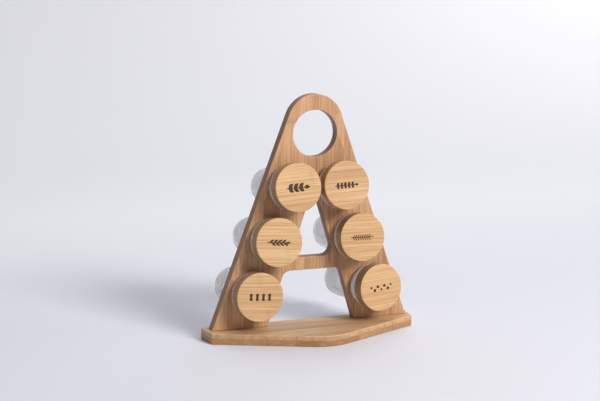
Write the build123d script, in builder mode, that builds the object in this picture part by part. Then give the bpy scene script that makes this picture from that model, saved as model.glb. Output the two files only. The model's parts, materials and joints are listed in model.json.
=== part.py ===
"""Bamboo A-frame spice rack holding six flanged glass jars with bamboo lids.

Frame: +Z is up, z = 0 is the underside of the base board, y = 0 is the front face
of the A-shaped panel and x = 0 is its centre line. The lids face -Y. Millimetres.
"""

from build123d import *
import os
from math import cos, radians, sin, tan

# ---------------------------------------------------------------- base board
BASE_THICKNESS = 10.0
BASE_REAR_Y = 15.0
BASE_REAR_HALF_WIDTH = 106.0
BASE_CORNER_Y = -8.3
BASE_CORNER_HALF_WIDTH = 103.0
BASE_NOSE_Y = -53.8
BASE_NOSE_RADIUS = 45.0
BASE_CORNER_RADIUS = 1.5
BASE_EDGE_ROUND = 0.9

# ------------------------------------------------------------- A-frame panel
PANEL_THICKNESS = 10.0
PANEL_HEIGHT = 217.6
FOOT_HALF_WIDTH = 99.8
SIDE_LEAN = 20.23
CROWN_RADIUS = 28.0
HANDLE_RADIUS = 22.0
HANDLE_HEIGHT = 181.0
PANEL_EDGE_ROUND = 0.6

# crossbar, with the window above it and the leg gap below it
CROSSBAR_BOTTOM = 51.8
CROSSBAR_TOP = 64.2
WINDOW_HALF_WIDTH = 22.4
WINDOW_LEAN = 17.8
WINDOW_APEX_RADIUS = 5.0
GAP_HALF_WIDTH = 44.6
GAP_LEAN = 17.1
OPENING_CORNER_RADIUS = 8.5

# --------------------------------------------------------------- jar seats
SEAT_RADIUS = 19.4
ROW_PITCH = 49.5
BOTTOM_ROW_HEIGHT = 31.8
BOTTOM_ROW_HALF_SPACING = 59.9
ROW_INSET = 17.8

# ---------------------------------------------------------------- glass jar
JAR_RADIUS = 18.2
JAR_WALL = 1.25
JAR_LENGTH = 63.5
JAR_BOTTOM = 1.6
JAR_HEEL_RADIUS = 5.0
RIB_HEIGHT = 0.4
RIB_PITCH = 7.0
RIB_COUNT = 6
FIRST_RIB = 15.0
FLANGE_RADIUS = 22.4
FLANGE_THICKNESS = 5.5
FLANGE_ROUND = 1.2

# ----------------------------------------------------------- lid and its seal
LID_RADIUS = 22.7
LID_THICKNESS = 12.0
LID_EDGE_ROUND = 0.7
LID_GAP = 0.3
PLUG_RADIUS = 15.0
PLUG_LENGTH = 6.3
PLUG_CHAMFER = 0.5
SEAL_START = 1.2
SEAL_LENGTH = 3.9
SEAL_SLEEVE = 0.8
SEAL_LIP_COUNT = 3
SEAL_LIP_ROOT = 1.0
SEAL_LIP_TIP = 0.4
SEAL_LIP_CLEARANCE = 0.15
SEAL_GROOVE_DEPTH = 0.6
MARK_DEPTH = 0.4
MARK_LENGTH = 24.0
STEM_WIDTH = 0.9

# ------------------------------------------------------------- base screws
SCREW_POSITIONS = [-88.0, -50.0, 50.0, 88.0]
SCREW_LENGTH = 20.0
SCREW_SHANK_RADIUS = 1.6
SCREW_HEAD_RADIUS = 3.4
SCREW_SINK = 0.4
SCREW_POINT = 3.0
DRIVE_SLOT_LENGTH = 3.6
DRIVE_SLOT_WIDTH = 0.9
DRIVE_SLOT_DEPTH = 1.4

CLEARANCE = 0.3

# Each jar hangs by its flange in a loose seat: its glass end droops by "droop"
# degrees, its front swings to the right by "swing", and its mark is turned anticlockwise
# by "roll" as seen from the front.
JARS = {
    "top_left": {"row": 2, "side": -1, "droop": 8.0, "swing": 0.0, "roll": 3.0, "mark": "broad_leaves"},
    "top_right": {"row": 2, "side": 1, "droop": 8.0, "swing": 0.0, "roll": 2.5, "mark": "small_leaves"},
    "middle_left": {"row": 1, "side": -1, "droop": 6.0, "swing": 0.0, "roll": -4.0, "mark": "long_leaves"},
    "middle_right": {"row": 1, "side": 1, "droop": 6.0, "swing": 0.0, "roll": 0.0, "mark": "needles"},
    "bottom_left": {"row": 0, "side": -1, "droop": 4.5, "swing": 0.0, "roll": -4.0, "mark": "buds"},
    "bottom_right": {"row": 0, "side": 1, "droop": 4.5, "swing": 6.0, "roll": 5.0, "mark": "seeds"},
}

PANEL_MIDDLE_Y = PANEL_THICKNESS / 2
JAR_BORE_RADIUS = JAR_RADIUS - JAR_WALL


def keep(part, name):
    """Label a finished piece and write its STEP file."""
    part.label = name
    export_step(part, f"parts/{name}.step")


# ------------------------------------------------------------------- seats


def seat_centre(jar):
    """Middle of a jar's seat, half way through the panel."""
    half_spacing = BOTTOM_ROW_HALF_SPACING - ROW_INSET * jar["row"]
    height = BASE_THICKNESS + BOTTOM_ROW_HEIGHT + ROW_PITCH * jar["row"]
    return Vector(jar["side"] * half_spacing, PANEL_MIDDLE_Y, height)


def jar_plane(jar):
    """Plane of the flange's rear face: its Z runs out of the jar's mouth.

    The flange stands off the panel by as much as its tilt needs.
    """
    droop = radians(jar["droop"])
    swing = radians(jar["swing"])
    axis = Vector(sin(swing), -cos(swing) * cos(droop), cos(swing) * sin(droop))
    level = Vector(0, 0, 1).cross(axis)
    rolled = level.rotate(Axis((0, 0, 0), axis), jar["roll"])
    turned = Plane(origin=seat_centre(jar), x_dir=rolled, z_dir=axis)
    facing = -axis.Y
    sideways = (1 - facing**2) ** 0.5
    stand_off = (PANEL_MIDDLE_Y + CLEARANCE + FLANGE_RADIUS * sideways) / facing
    return turned.offset(stand_off)


def profile_plane(plane):
    """Plane through a jar's axis, for turned profiles: X is the radius, Y runs out of the mouth."""
    return Plane(origin=plane.origin, x_dir=plane.x_dir, z_dir=plane.x_dir.cross(plane.z_dir))


def axis_of(plane):
    """The jar's axis."""
    return Axis(plane.origin, plane.z_dir)


# ------------------------------------------------------------ A-frame panel


def make_panel():
    """A-shaped board with the handle hole, six seats, the window and the leg gap."""
    front = Plane(origin=(0, 0, BASE_THICKNESS), x_dir=(1, 0, 0), z_dir=(0, -1, 0))
    crown_height = PANEL_HEIGHT - CROWN_RADIUS
    crown_x = CROWN_RADIUS * cos(radians(SIDE_LEAN))
    crown_y = crown_height + CROWN_RADIUS * sin(radians(SIDE_LEAN))
    window_rise = WINDOW_HALF_WIDTH / tan(radians(WINDOW_LEAN))
    gap_top_half_width = GAP_HALF_WIDTH - CROSSBAR_BOTTOM * tan(radians(GAP_LEAN))

    with BuildPart() as panel:
        with BuildSketch(front):
            with BuildLine():
                Polyline((-crown_x, crown_y), (-FOOT_HALF_WIDTH, 0), (FOOT_HALF_WIDTH, 0), (crown_x, crown_y))
                ThreePointArc((crown_x, crown_y), (0, PANEL_HEIGHT), (-crown_x, crown_y))
            make_face()
            with Locations((0, HANDLE_HEIGHT)):
                Circle(HANDLE_RADIUS, mode=Mode.SUBTRACT)
            for jar in JARS.values():
                centre = seat_centre(jar)
                with Locations((centre.X, centre.Z - BASE_THICKNESS)):
                    Circle(SEAT_RADIUS, mode=Mode.SUBTRACT)
        extrude(amount=-PANEL_THICKNESS)

        with BuildSketch(front) as window:
            with BuildLine():
                Polyline(
                    (-WINDOW_HALF_WIDTH, CROSSBAR_TOP),
                    (WINDOW_HALF_WIDTH, CROSSBAR_TOP),
                    (0, CROSSBAR_TOP + window_rise),
                    close=True,
                )
            make_face()
            fillet(window.vertices().group_by(Axis.Y)[0], radius=OPENING_CORNER_RADIUS)
            fillet(window.vertices().group_by(Axis.Y)[-1], radius=WINDOW_APEX_RADIUS)
        extrude(amount=-PANEL_THICKNESS, mode=Mode.SUBTRACT)

        with BuildSketch(front) as leg_gap:
            with BuildLine():
                Polyline(
                    (-GAP_HALF_WIDTH, 0),
                    (GAP_HALF_WIDTH, 0),
                    (gap_top_half_width, CROSSBAR_BOTTOM),
                    (-gap_top_half_width, CROSSBAR_BOTTOM),
                    close=True,
                )
            make_face()
            fillet(leg_gap.vertices().group_by(Axis.Y)[-1], radius=OPENING_CORNER_RADIUS)
        extrude(amount=-PANEL_THICKNESS, mode=Mode.SUBTRACT)

        faces = panel.faces().filter_by(Axis.Y)
        rims = faces.edges().filter_by(lambda edge: edge.center().Z > BASE_THICKNESS + 0.1)
        fillet(rims, radius=PANEL_EDGE_ROUND)

        with BuildSketch(Plane.XY.offset(BASE_THICKNESS)):
            with Locations([(x, PANEL_MIDDLE_Y) for x in SCREW_POSITIONS]):
                Circle(SCREW_SHANK_RADIUS)
        extrude(amount=SCREW_LENGTH + CLEARANCE - BASE_THICKNESS, mode=Mode.SUBTRACT)
    keep(panel.part, "a_frame_panel")


# --------------------------------------------------------------- base board


def make_base():
    """Base board with a blunt rounded nose in front, sunk for the four screws."""
    with BuildPart() as base:
        with BuildSketch() as outline:
            with BuildLine():
                Polyline(
                    (-BASE_REAR_HALF_WIDTH, BASE_REAR_Y),
                    (-BASE_CORNER_HALF_WIDTH, BASE_CORNER_Y),
                    (0, BASE_NOSE_Y),
                    (BASE_CORNER_HALF_WIDTH, BASE_CORNER_Y),
                    (BASE_REAR_HALF_WIDTH, BASE_REAR_Y),
                    close=True,
                )
            make_face()
            fillet(outline.vertices().group_by(Axis.Y)[0], radius=BASE_NOSE_RADIUS)
            corners = outline.vertices().filter_by(lambda v: abs(v.X) > BASE_CORNER_HALF_WIDTH - 1)
            fillet(corners, radius=BASE_CORNER_RADIUS)
        extrude(amount=BASE_THICKNESS)
        fillet(base.faces().sort_by(Axis.Z)[-1].edges(), radius=BASE_EDGE_ROUND)
        chamfer(base.faces().sort_by(Axis.Z)[0].edges(), length=BASE_EDGE_ROUND / 2)
        with Locations(Plane.XY.rotated((180, 0, 0))):
            with Locations([(x, -PANEL_MIDDLE_Y) for x in SCREW_POSITIONS]):
                CounterSinkHole(SCREW_SHANK_RADIUS, SCREW_HEAD_RADIUS + SCREW_SINK, BASE_THICKNESS)
    keep(base.part, "base_board")


def make_screws():
    """Four countersunk wood screws, driven up through the base into the panel's feet."""
    head_depth = SCREW_HEAD_RADIUS - SCREW_SHANK_RADIUS
    with BuildPart() as screws:
        with BuildSketch(Plane.XZ):
            with BuildLine():
                Polyline(
                    (0, SCREW_SINK),
                    (SCREW_HEAD_RADIUS, SCREW_SINK),
                    (SCREW_SHANK_RADIUS, SCREW_SINK + head_depth),
                    (SCREW_SHANK_RADIUS, SCREW_LENGTH - SCREW_POINT),
                    (0, SCREW_LENGTH),
                    close=True,
                )
            make_face()
        revolve(axis=Axis.Z)
        with BuildSketch(Plane.XY.offset(SCREW_SINK)):
            Rectangle(DRIVE_SLOT_LENGTH, DRIVE_SLOT_WIDTH)
            Rectangle(DRIVE_SLOT_WIDTH, DRIVE_SLOT_LENGTH)
        extrude(amount=DRIVE_SLOT_DEPTH, mode=Mode.SUBTRACT)
    one_screw = screws.part
    with BuildPart() as screw_set:
        with Locations([(x, PANEL_MIDDLE_Y, 0) for x in SCREW_POSITIONS]):
            add(one_screw)
    keep(screw_set.part, "base_screws")


# ---------------------------------------------------------------- glass jar


def make_jar(name, plane):
    """Turned glass jar: flange, straight ribbed wall and a rounded closed end."""
    first_rib = -FIRST_RIB
    last_rib = first_rib - RIB_COUNT * RIB_PITCH
    heel_y = -JAR_LENGTH + JAR_HEEL_RADIUS
    inner_heel = JAR_HEEL_RADIUS - JAR_WALL
    floor_y = -JAR_LENGTH + JAR_BOTTOM
    with BuildPart() as jar:
        with BuildSketch(profile_plane(plane)):
            with BuildLine():
                Polyline((0, -JAR_LENGTH), (JAR_RADIUS - JAR_HEEL_RADIUS, -JAR_LENGTH))
                RadiusArc(
                    (JAR_RADIUS - JAR_HEEL_RADIUS, -JAR_LENGTH),
                    (JAR_RADIUS, heel_y),
                    -JAR_HEEL_RADIUS,
                )
                Line((JAR_RADIUS, heel_y), (JAR_RADIUS, last_rib))
                for rib in range(RIB_COUNT):
                    rib_y = last_rib + rib * RIB_PITCH
                    SagittaArc((JAR_RADIUS, rib_y), (JAR_RADIUS, rib_y + RIB_PITCH), -RIB_HEIGHT)
                Polyline(
                    (JAR_RADIUS, first_rib),
                    (JAR_RADIUS, 0),
                    (FLANGE_RADIUS, 0),
                    (FLANGE_RADIUS, FLANGE_THICKNESS),
                    (JAR_BORE_RADIUS, FLANGE_THICKNESS),
                    (JAR_BORE_RADIUS, floor_y + inner_heel),
                )
                RadiusArc(
                    (JAR_BORE_RADIUS, floor_y + inner_heel),
                    (JAR_BORE_RADIUS - inner_heel, floor_y),
                    inner_heel,
                )
                Polyline((JAR_BORE_RADIUS - inner_heel, floor_y), (0, floor_y), (0, -JAR_LENGTH))
            make_face()
        revolve(axis=axis_of(plane))
        rims = jar.edges().filter_by(GeomType.CIRCLE).filter_by(lambda edge: edge.radius > JAR_RADIUS + 1)
        fillet(rims, radius=FLANGE_ROUND)
    keep(jar.part, f"glass_jar_{name}")


# ------------------------------------------------------------- lid and seal


def leaf(length, width):
    """Pointed leaf lying along +X from its stalk at the origin."""
    with BuildSketch() as blade:
        with BuildLine():
            ThreePointArc((0, 0), (length / 2, width / 2), (length, 0))
            ThreePointArc((length, 0), (length / 2, -width / 2), (0, 0))
        make_face()
    return blade.sketch


def sprig(pairs, length, width, angle, staggered=False):
    """Stem along X with pairs of leaves, or leaves on alternate sides, and one at its tip."""
    blade = leaf(length, width)
    stem_length = MARK_LENGTH - length
    step = (stem_length - 2 * STEM_WIDTH) / pairs
    with BuildSketch() as drawing:
        with Locations((-length / 2, 0)):
            SlotOverall(stem_length, STEM_WIDTH)
        for index in range(pairs):
            stalk_x = -MARK_LENGTH / 2 + 2 * STEM_WIDTH + index * step
            with Locations((stalk_x, 0)):
                add(blade, rotation=angle)
            with Locations((stalk_x + (step / 2 if staggered else 0), 0)):
                add(blade, rotation=-angle)
        with Locations((MARK_LENGTH / 2 - length - STEM_WIDTH / 2, 0)):
            add(blade)
    return drawing.sketch


def bud_row(count=4, pitch=6.0, head=1.5, stalk=4.2):
    """Row of buds, each a round head on a stalk that widens below it."""
    with BuildSketch() as drawing:
        for index in range(count):
            x = (index - (count - 1) / 2) * pitch
            with Locations((x, stalk / 2)):
                Circle(head)
            with Locations((x, -stalk / 4)):
                Trapezoid(2 * head, stalk, 100, rotation=180)
    return drawing.sketch


def seed_row(count=7, pitch=3.6, large=1.5, small=1.1):
    """Loose row of round seeds in two sizes."""
    with BuildSketch() as drawing:
        for index in range(count):
            x = (index - (count - 1) / 2) * pitch
            with Locations((x, large * (-1) ** index)):
                Circle(small if index % 3 == 0 else large)
    return drawing.sketch


MARKS = {
    "broad_leaves": sprig(pairs=3, length=6.5, width=3.6, angle=38),
    "small_leaves": sprig(pairs=5, length=3.6, width=2.4, angle=55),
    "long_leaves": sprig(pairs=4, length=6.0, width=1.9, angle=30, staggered=True),
    "needles": sprig(pairs=8, length=4.0, width=0.9, angle=50),
    "buds": bud_row(),
    "seeds": seed_row(),
}


def make_lid(name, plane, mark):
    """Turned bamboo lid: a thick disc with a cut mark in front and a grooved plug behind."""
    seat = FLANGE_THICKNESS + LID_GAP
    face = seat + LID_THICKNESS
    groove_front = seat - SEAL_START
    groove_back = groove_front - SEAL_LENGTH
    groove_radius = PLUG_RADIUS - SEAL_GROOVE_DEPTH
    with BuildPart() as lid:
        with BuildSketch(profile_plane(plane)):
            with BuildLine():
                Polyline(
                    (0, seat - PLUG_LENGTH),
                    (PLUG_RADIUS - PLUG_CHAMFER, seat - PLUG_LENGTH),
                    (PLUG_RADIUS, seat - PLUG_LENGTH + PLUG_CHAMFER),
                    (PLUG_RADIUS, groove_back),
                    (groove_radius, groove_back),
                    (groove_radius, groove_front),
                    (PLUG_RADIUS, groove_front),
                    (PLUG_RADIUS, seat),
                    (LID_RADIUS, seat),
                    (LID_RADIUS, face),
                    (0, face),
                    close=True,
                )
            make_face()
        revolve(axis=axis_of(plane))
        rims = lid.edges().filter_by(GeomType.CIRCLE).filter_by(lambda edge: edge.radius > LID_RADIUS - 0.1)
        fillet(rims, radius=LID_EDGE_ROUND)
        with BuildSketch(plane.offset(face)):
            add(MARKS[mark])
        extrude(amount=-MARK_DEPTH, mode=Mode.SUBTRACT)
    keep(lid.part, f"lid_{name}")


def make_seal(name, plane):
    """Silicone sleeve in the plug's groove, with tapered lips that reach for the glass."""
    front = FLANGE_THICKNESS + LID_GAP - SEAL_START
    inner = PLUG_RADIUS - SEAL_GROOVE_DEPTH
    sleeve = inner + SEAL_SLEEVE
    lip_pitch = SEAL_LENGTH / SEAL_LIP_COUNT
    lip_reach = JAR_BORE_RADIUS - SEAL_LIP_CLEARANCE
    with BuildPart() as seal:
        with BuildSketch(profile_plane(plane)):
            with Locations(((inner + sleeve) / 2, front - SEAL_LENGTH / 2)):
                Rectangle(SEAL_SLEEVE, SEAL_LENGTH)
            for lip in range(SEAL_LIP_COUNT):
                root_y = front - SEAL_LENGTH + (lip + 0.5) * lip_pitch
                with BuildLine():
                    Polyline(
                        (inner + SEAL_SLEEVE / 2, root_y - SEAL_LIP_ROOT / 2),
                        (lip_reach, root_y - SEAL_LIP_TIP / 2),
                        (lip_reach, root_y + SEAL_LIP_TIP / 2),
                        (inner + SEAL_SLEEVE / 2, root_y + SEAL_LIP_ROOT / 2),
                        close=True,
                    )
                make_face()
        revolve(axis=axis_of(plane))
    keep(seal.part, f"seal_{name}")


# ------------------------------------------------------------------- build

os.makedirs("parts", exist_ok=True)
make_panel()
make_base()
make_screws()
for jar_name, jar in JARS.items():
    jar_frame = jar_plane(jar)
    make_jar(jar_name, jar_frame)
    make_lid(jar_name, jar_frame, jar["mark"])
    make_seal(jar_name, jar_frame)
    print(jar_name, "axis", jar_frame.z_dir, "flange", jar_frame.origin)
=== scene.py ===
"""Looks of a bamboo A-frame spice rack with six flanged glass jars and bamboo lids.

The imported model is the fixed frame: +Z is up, z = 0 is the underside of the base board, y = 0 is the
front face of the A-shaped panel, and the lids face -Y. Lengths are metres, except that the turned
profiles and the materials are laid out in millimetres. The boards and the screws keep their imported
meshes; the jars, lids and seals are turned here.
"""

import json
import logging
from dataclasses import dataclass
from enum import Enum, auto
from math import cos, pi, radians, sin
from typing import Union

import bmesh
import bpy
from mathutils import Matrix, Vector


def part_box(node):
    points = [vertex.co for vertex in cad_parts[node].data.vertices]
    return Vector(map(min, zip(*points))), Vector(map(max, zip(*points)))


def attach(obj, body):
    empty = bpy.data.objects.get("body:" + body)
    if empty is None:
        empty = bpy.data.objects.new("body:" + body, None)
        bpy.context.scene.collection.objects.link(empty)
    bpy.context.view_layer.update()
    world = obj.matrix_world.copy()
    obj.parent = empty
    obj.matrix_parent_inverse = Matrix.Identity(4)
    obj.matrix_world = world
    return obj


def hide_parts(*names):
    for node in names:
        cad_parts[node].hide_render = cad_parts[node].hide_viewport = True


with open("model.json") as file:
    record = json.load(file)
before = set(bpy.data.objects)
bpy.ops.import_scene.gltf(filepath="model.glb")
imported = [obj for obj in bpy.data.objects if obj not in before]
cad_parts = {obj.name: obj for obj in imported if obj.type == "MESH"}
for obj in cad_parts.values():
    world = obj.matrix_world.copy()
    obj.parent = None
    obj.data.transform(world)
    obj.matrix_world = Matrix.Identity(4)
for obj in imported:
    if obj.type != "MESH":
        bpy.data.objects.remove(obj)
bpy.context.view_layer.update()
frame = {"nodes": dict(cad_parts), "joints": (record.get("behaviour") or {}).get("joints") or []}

MM = 0.001
OWN_PLACE = "own_place"
Socket = bpy.types.NodeSocket
Value = Union[float, tuple, Socket]
Colour = tuple[float, float, float]
Point = tuple[float, float, float]
Levels = tuple[float, float]
Inputs = dict[Union[str, int], Value]
Steps = tuple[float, float, float, float]

log = logging.getLogger("spice_rack")


# ------------------------------------------------------------------ wiring


@dataclass(frozen=True)
class Grain:
    """A noise: its scales along X, Y and Z, its finer layers and its distortion."""

    scales: Point
    detail: float = 3.0
    rough: float = 0.55
    bend: float = 0.0


@dataclass
class Wiring:
    """Adds nodes to one node tree and joins their sockets."""

    tree: bpy.types.NodeTree

    def add(self, kind: str, inputs: Inputs | None = None, **settings: object) -> bpy.types.Node:
        """Add a node of a kind, set its properties and feed its inputs.

        Args:
            kind: The node's class name.
            inputs: What each input gets, by the input's name or number.
            **settings: Properties of the node and their values.

        Returns:
            The new node.
        """
        node = self.tree.nodes.new(kind)
        for name, value in settings.items():
            setattr(node, name, value)
        self.feed_all(node, inputs or {})
        return node

    def feed(self, socket: Socket, value: Value) -> None:
        """Join an output to a socket, or set the socket's own value.

        Args:
            socket: The input to feed.
            value: An output socket, a number or a tuple.
        """
        if isinstance(value, bpy.types.NodeSocket):
            self.tree.links.new(value, socket)
            return
        if socket.type == "RGBA" and len(value) == 3:
            value = (*value, 1.0)
        socket.default_value = value

    def feed_all(self, node: bpy.types.Node, inputs: Inputs) -> None:
        """Feed several inputs of a node, by their names or numbers."""
        for key, value in inputs.items():
            self.feed(node.inputs[key], value)

    def math(self, operation: str, first: Value, second: Value = 0.0, clamp: bool = False) -> Socket:
        """Result of one arithmetic step, kept between 0 and 1 if it is to be clamped."""
        given = {0: first, 1: second}
        return self.add("ShaderNodeMath", given, operation=operation, use_clamp=clamp).outputs[0]

    def times(self, first: Value, second: Value) -> Socket:
        """Product of two values."""
        return self.math("MULTIPLY", first, second)

    def swing(self, value: Value, amount: Value) -> Socket:
        """A value's distance above one half, times an amount."""
        return self.times(self.math("SUBTRACT", value, 0.5), amount)

    def off(self, value: Value, middle: Value) -> Socket:
        """A value's distance from a middle, on either side."""
        return self.math("ABSOLUTE", self.math("SUBTRACT", value, middle))

    def ramp(self, value: Value, low: float, high: float, start: float = 0.0, end: float = 1.0) -> Socket:
        """Smooth step of a value from one level to another.

        Args:
            value: The value to step.
            low: The value at which the step starts.
            high: The value at which it ends.
            start: The result up to low.
            end: The result from high on.

        Returns:
            The result's socket.
        """
        given = {"Value": value, "From Min": low, "From Max": high, "To Min": start, "To Max": end}
        return self.add("ShaderNodeMapRange", given, interpolation_type="SMOOTHSTEP").outputs["Result"]

    def mix(self, amount: Value, first: Value, second: Value, blend: str = "MIX") -> Socket:
        """Mix two colours.

        Args:
            amount: How much of the second is used.
            first: The first colour.
            second: The second colour.
            blend: How they are mixed.

        Returns:
            The mixed colour's socket.
        """
        given = {"Factor": amount, 6: first, 7: second}
        return self.add("ShaderNodeMix", given, data_type="RGBA", blend_type=blend).outputs[2]

    def vector_math(self, operation: str, first: Value, second: Value) -> bpy.types.Node:
        """One arithmetic step on two vectors."""
        return self.add("ShaderNodeVectorMath", {0: first, 1: second}, operation=operation)

    def scale(self, vector: Value, factors: Point) -> Socket:
        """A vector multiplied by three factors."""
        return self.vector_math("MULTIPLY", vector, factors).outputs["Vector"]

    def noise(self, vector: Value, grain: Grain) -> Socket:
        """Noise read at a vector.

        Args:
            vector: Where it is read.
            grain: The noise.

        Returns:
            The noise's value.
        """
        given = {
            "Vector": self.scale(vector, grain.scales),
            "Scale": 1.0,
            "Detail": grain.detail,
            "Roughness": grain.rough,
            "Distortion": grain.bend,
        }
        return self.add("ShaderNodeTexNoise", given).outputs["Fac"]

    def parts(self, vector: Value) -> tuple[Socket, ...]:
        """The three components of a vector."""
        return tuple(self.add("ShaderNodeSeparateXYZ", {0: vector}).outputs)

    def whole(self, x: Value, y: Value, z: Value) -> Socket:
        """A vector made of three components."""
        return self.add("ShaderNodeCombineXYZ", {0: x, 1: y, 2: z}).outputs[0]

    def millimetres(self, own: bool = True) -> Socket:
        """A point's place in millimetres.

        Args:
            own: Whether it is the place kept on a turned piece, and not the one in the frame.

        Returns:
            The place's socket.
        """
        if own:
            place = self.add("ShaderNodeAttribute", attribute_name=OWN_PLACE).outputs["Vector"]
        else:
            place = self.add("ShaderNodeTexCoord").outputs["Object"]
        return self.scale(place, (1 / MM, 1 / MM, 1 / MM))

    def emboss(self, shader: bpy.types.Node, height: Value, strength: float, depth: float) -> None:
        """Bump a shader's normal.

        Args:
            shader: The shader.
            height: The height map.
            strength: How strong the bump is.
            depth: Depth of a height of one, in millimetres.
        """
        bump = self.add("ShaderNodeBump", {"Strength": strength, "Distance": depth * MM, "Height": height})
        self.feed(shader.inputs["Normal"], bump.outputs["Normal"])


def effect_group(name: str, inputs: dict[str, tuple], outputs: dict[str, str]) -> tuple:
    """Start a shader node group with named sockets.

    Args:
        name: The group's name.
        inputs: Socket type and default value of each input, by name.
        outputs: Socket type of each output, by name.

    Returns:
        The wiring of the group, its input node and its output node.
    """
    tree = bpy.data.node_groups.new(name, "ShaderNodeTree")
    for label, (kind, default) in inputs.items():
        socket = tree.interface.new_socket(name=label, in_out="INPUT", socket_type=kind)
        if default is not None:
            socket.default_value = default
    for label, kind in outputs.items():
        tree.interface.new_socket(name=label, in_out="OUTPUT", socket_type=kind)
    wiring = Wiring(tree)
    return wiring, wiring.add("NodeGroupInput"), wiring.add("NodeGroupOutput")


FLOAT = "NodeSocketFloat"
VECTOR = "NodeSocketVector"
COLOUR = "NodeSocketColor"


# ------------------------------------------------------- shared effect groups


@dataclass(frozen=True)
class StripPattern:
    """Laminated bamboo: strips side by side, each with its fibres, dark flecks and knuckles.

    Lengths are millimetres, scales are per millimetre, and levels are where a noise or a distance
    starts and ends its step.
    """

    ply: float = 5.0
    shuffle: float = 900.0
    streak_along: float = 0.011
    streak: Grain = Grain((1.0, 1.0, 1.0), 4.0, 0.62, 0.35)
    streak_levels: Levels = (0.30, 0.70)
    wide: Grain = Grain((0.006, 0.09, 0.09), 2.0)
    wide_levels: Levels = (0.34, 0.66)
    wide_share: float = 0.35
    fibre: Grain = Grain((0.045, 3.1, 3.1), 3.0, 0.7)
    fibre_share: float = 0.55
    fleck: Grain = Grain((0.16, 2.6, 2.6), 2.0, 0.5)
    fleck_levels: Levels = (0.62, 0.74)
    waver: Grain = Grain((0.2, 0.45, 0.45), 2.0)
    waver_length: float = 5.0
    knuckle_levels: Levels = (2.4, 6.5)
    seam_levels: Levels = (0.08, 0.42)
    seam_share: float = 0.35
    middle_tone: float = 0.45
    fibre_height: float = 0.35
    fleck_height: float = 0.45
    seam_height: float = 0.5
    knuckle_height: float = 0.3

    def group(self) -> bpy.types.NodeTree:
        """Build the node group, whose vector has X along the fibres and Z through the board.

        Returns:
            The group.
        """
        wiring, given, made = effect_group(
            "bamboo_strips",
            {
                "Vector": (VECTOR, None),
                "Pale": (COLOUR, (0.6, 0.4, 0.2, 1.0)),
                "Deep": (COLOUR, (0.4, 0.2, 0.1, 1.0)),
                "Knuckle": (COLOUR, (0.2, 0.1, 0.05, 1.0)),
                "Strip Width": (FLOAT, 20.0),
                "Strip Contrast": (FLOAT, 0.5),
                "Streak Width": (FLOAT, 2.0),
                "Streak Contrast": (FLOAT, 0.5),
                "Fleck Amount": (FLOAT, 0.4),
                "Knuckle Spacing": (FLOAT, 180.0),
                "Knuckle Amount": (FLOAT, 0.6),
            },
            {"Color": COLOUR, "Height": FLOAT, "Gloss Loss": FLOAT},
        )
        vector = given.outputs["Vector"]
        along, across, depth = wiring.parts(vector)

        strip_place = wiring.math("DIVIDE", across, given.outputs["Strip Width"])
        strip = wiring.math("FLOOR", strip_place)
        ply = wiring.math("FLOOR", wiring.math("DIVIDE", depth, self.ply))
        number = {"Vector": wiring.whole(strip, ply, 0.0)}
        chance = wiring.add("ShaderNodeTexWhiteNoise", number, noise_dimensions="2D")
        tone = chance.outputs["Value"]
        moved = wiring.scale(chance.outputs["Color"], (self.shuffle, 0.0, 0.0))
        own = wiring.vector_math("ADD", vector, moved).outputs["Vector"]

        finer = wiring.math("DIVIDE", 1.0, given.outputs["Streak Width"])
        own_along, own_across, own_depth = wiring.parts(own)
        streak_place = wiring.whole(
            wiring.times(own_along, self.streak_along),
            wiring.times(own_across, finer),
            wiring.times(own_depth, finer),
        )
        streak = wiring.ramp(wiring.noise(streak_place, self.streak), *self.streak_levels)
        wide = wiring.ramp(wiring.noise(own, self.wide), *self.wide_levels)
        fibre = wiring.noise(own, self.fibre)
        fleck = wiring.ramp(wiring.noise(own, self.fleck), *self.fleck_levels)

        spacing = given.outputs["Knuckle Spacing"]
        bands = wiring.math("ADD", wiring.math("DIVIDE", along, spacing), tone)
        from_band = wiring.times(wiring.off(wiring.math("FRACT", bands), 0.5), spacing)
        waver = wiring.times(wiring.noise(own, self.waver), self.waver_length)
        knuckle = wiring.ramp(wiring.math("ADD", from_band, waver), *self.knuckle_levels, 1.0, 0.0)

        from_middle = wiring.off(wiring.math("FRACT", strip_place), 0.5)
        from_seam = wiring.times(wiring.math("SUBTRACT", 0.5, from_middle), given.outputs["Strip Width"])
        seam = wiring.ramp(from_seam, *self.seam_levels, 1.0, 0.0)

        strip_part = wiring.swing(tone, given.outputs["Strip Contrast"])
        streak_part = wiring.swing(streak, given.outputs["Streak Contrast"])
        wide_part = wiring.swing(wide, self.wide_share)
        fibre_part = wiring.swing(fibre, self.fibre_share)
        dark = wiring.math("ADD", wiring.math("ADD", strip_part, streak_part), self.middle_tone)
        dark = wiring.math("ADD", dark, wiring.math("ADD", wide_part, fibre_part), clamp=True)
        colour = wiring.mix(dark, given.outputs["Pale"], given.outputs["Deep"])
        stains = (
            wiring.times(fleck, given.outputs["Fleck Amount"]),
            wiring.times(knuckle, given.outputs["Knuckle Amount"]),
            wiring.times(seam, self.seam_share),
        )
        for stain in stains:
            colour = wiring.mix(stain, colour, given.outputs["Knuckle"])

        fibre_lift = wiring.times(fibre, self.fibre_height)
        height = wiring.math("SUBTRACT", fibre_lift, wiring.times(fleck, self.fleck_height))
        height = wiring.math("SUBTRACT", height, wiring.times(seam, self.seam_height))
        height = wiring.math("ADD", height, wiring.times(knuckle, self.knuckle_height))
        gloss_loss = wiring.times(wiring.math("ADD", fleck, streak), 0.5)
        wiring.feed_all(made, {"Color": colour, "Height": height, "Gloss Loss": gloss_loss})
        return wiring.tree


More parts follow.
